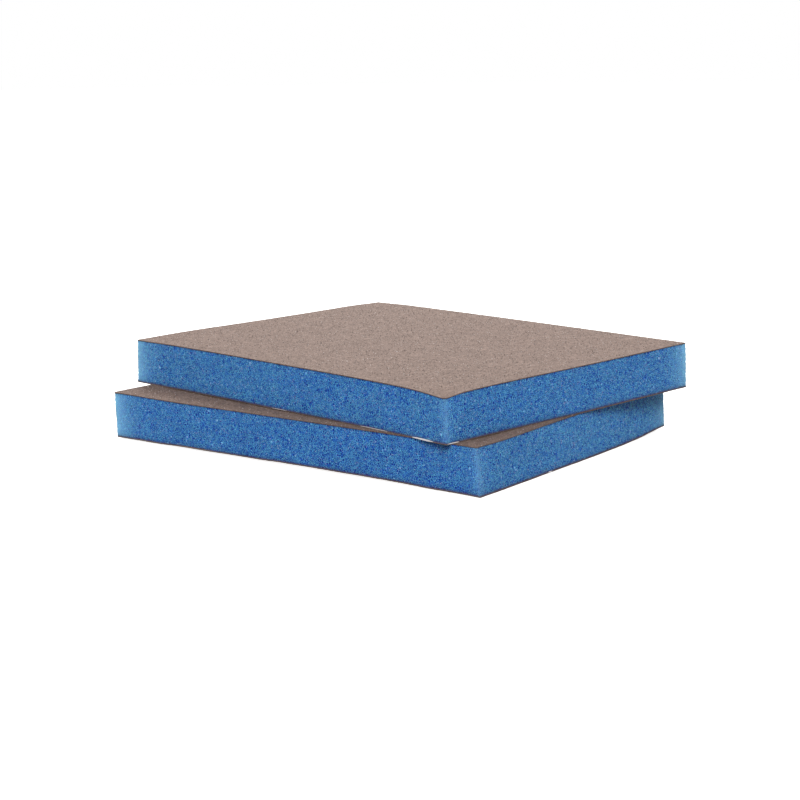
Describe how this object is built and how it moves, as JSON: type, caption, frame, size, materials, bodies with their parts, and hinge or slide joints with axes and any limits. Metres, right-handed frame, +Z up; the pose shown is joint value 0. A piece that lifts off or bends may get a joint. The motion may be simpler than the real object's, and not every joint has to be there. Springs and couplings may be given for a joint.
{
  "type": "sanding block",
  "caption": "Flexible foam sanding blocks with abrasive on both faces, stacked with the upper one turned a little.",
  "frame": {"origin": "centre of the lower pad's underside, the face that the stack stands on", "axes": "+X along the lower pad's 120 mm length, +Y along its 92 mm width, +Z up through both pads"},
  "size_m": [0.1328, 0.1129, 0.0244],
  "materials": {
    "foam": "matte",
    "latex_barrier": "satin",
    "make_resin": "gloss",
    "abrasive_grain": "matte",
    "size_resin": "matte"
  },
  "bodies": {
    "lower_pad": {"lower_pad_foam_core": "foam", "lower_pad_bottom_barrier_coat": "latex_barrier", "lower_pad_bottom_make_coat": "make_resin", "lower_pad_bottom_grain_layer": "abrasive_grain", "lower_pad_bottom_size_coat": "size_resin", "lower_pad_top_barrier_coat": "latex_barrier", "lower_pad_top_make_coat": "make_resin", "lower_pad_top_grain_layer": "abrasive_grain", "lower_pad_top_size_coat": "size_resin"},
    "upper_pad": {"upper_pad_foam_core": "foam", "upper_pad_bottom_barrier_coat": "latex_barrier", "upper_pad_bottom_make_coat": "make_resin", "upper_pad_bottom_grain_layer": "abrasive_grain", "upper_pad_bottom_size_coat": "size_resin", "upper_pad_top_barrier_coat": "latex_barrier", "upper_pad_top_make_coat": "make_resin", "upper_pad_top_grain_layer": "abrasive_grain", "upper_pad_top_size_coat": "size_resin"}
  },
  "joints": [
    {"name": "upper_pad_lift", "type": "slide", "parent": "lower_pad", "child": "upper_pad", "axis": [0, 0, 1], "range_m": [0, 0.05]}
  ]
}
